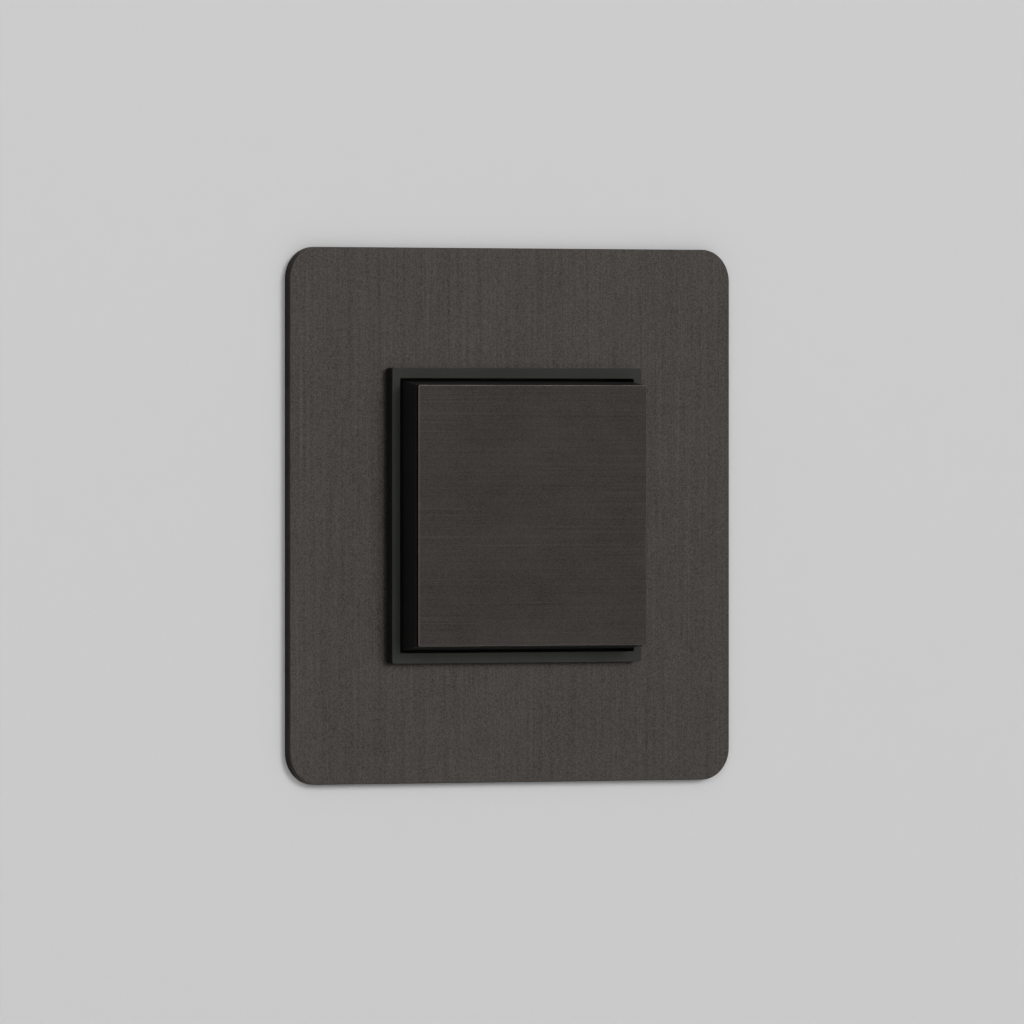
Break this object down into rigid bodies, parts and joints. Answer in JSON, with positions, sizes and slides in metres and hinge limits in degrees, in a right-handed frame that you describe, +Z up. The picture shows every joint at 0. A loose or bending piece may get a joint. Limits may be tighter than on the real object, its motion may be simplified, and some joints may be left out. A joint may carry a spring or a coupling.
{
  "type": "rocker wall switch",
  "caption": "Flush wall switch: a brushed dark-bronze cover plate and a square black collar round one large sprung rocker, over a changeover mechanism on a yoke.",
  "frame": {"origin": "centre of the cover plate's back face, in the plane of the wall", "axes": "+Z up the wall, -Y out of the wall towards the hand, +X to the right seen from the front"},
  "size_m": [0.086, 0.0355, 0.0886],
  "materials": {
    "plate_bronze": "dark bronze, brushed up and down",
    "face_bronze": "dark bronze, brushed side to side",
    "black_plastic": "satin moulded",
    "grey_plastic": "fine spark texture",
    "ivory_plastic": "natural, slightly waxy",
    "zinc_steel": "zinc plated",
    "steel": "plated, turned",
    "spring_steel": "drawn wire",
    "brass": "machined",
    "copper": "rolled strip",
    "silver": "matt silver"
  },
  "bodies": {
    "base": {"cover_plate": "plate_bronze", "plate_clip_frame": "black_plastic", "collar": "black_plastic", "yoke": "zinc_steel", "fixing_screws": "steel", "screw_retainers": "ivory_plastic", "earth_terminal": "brass", "earth_screw": "steel", "earth_leaf": "copper", "cradle": "black_plastic", "retaining_clips": "steel", "pivot_pins": "steel", "rear_housing": "grey_plastic", "housing_screws": "steel", "common_terminal": "brass", "upper_terminal": "brass", "lower_terminal": "brass", "fixed_contacts": "silver", "terminal_screws": "steel", "upper_return_spring": "spring_steel", "lower_return_spring": "spring_steel"},
    "rocker": {"rocker_paddle": "black_plastic", "rocker_face": "face_bronze", "plunger_spring": "spring_steel"},
    "plunger": {"plunger": "ivory_plastic"},
    "contact": {"moving_contact": "copper", "moving_tips": "silver"}
  },
  "joints": [
    {"name": "rocker_tilt", "type": "hinge", "parent": "base", "child": "rocker", "pos_m": [0, 0, 0], "axis": [1, 0, 0], "range_deg": [-4, 4], "stiffness_Nm_per_rad": 0.5, "deforming": ["upper_return_spring", "lower_return_spring"]},
    {"name": "contact_tilt", "type": "hinge", "parent": "base", "child": "contact", "pos_m": [0, 0.013, 0], "axis": [1, 0, 0], "range_deg": [-6, 6]},
    {"name": "plunger_slide", "type": "slide", "parent": "rocker", "child": "plunger", "axis": [0, -1, 0], "range_m": [0, 0.0012], "stiffness_N_per_m": 300, "deforming": ["plunger_spring"]}
  ],
  "couplings": [
    {"joint": "contact_tilt", "follows": "rocker_tilt", "ratio": -1.5}
  ]
}
